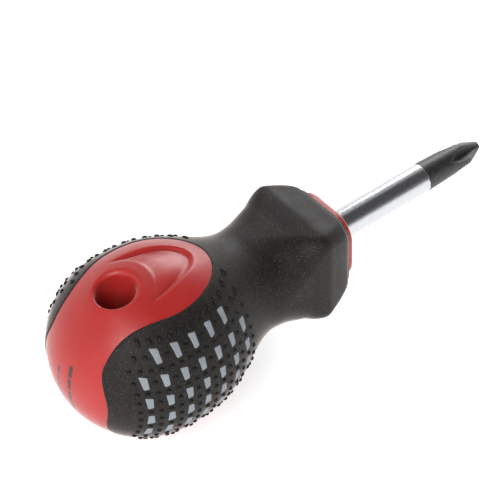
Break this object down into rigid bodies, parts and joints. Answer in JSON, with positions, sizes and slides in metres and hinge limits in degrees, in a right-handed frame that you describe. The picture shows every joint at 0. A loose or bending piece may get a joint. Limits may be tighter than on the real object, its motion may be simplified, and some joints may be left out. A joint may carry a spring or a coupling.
{
  "type": "stubby screwdriver",
  "caption": "Short cross-point screwdriver with a ball-ended overmoulded handle, flared guard, hanging hole and a round steel shank.",
  "frame": {"origin": "centre of the handle's front face, where the shank leaves the collar", "axes": "+X along the blade towards its point, +Z along the hanging hole, upwards as the tool lies"},
  "size_m": [0.1007, 0.0354, 0.0354],
  "materials": {
    "blade_steel": "satin chrome, black oxide at the point",
    "red_plastic": "semi-matte moulded",
    "grey_plastic": "semi-matte moulded",
    "black_rubber": "matte, raised dots"
  },
  "bodies": {
    "root": {"blade": "blade_steel", "handle_core": "red_plastic", "left_inlay": "grey_plastic", "right_inlay": "grey_plastic", "rubber_grip": "black_rubber"}
  },
  "joints": []
}
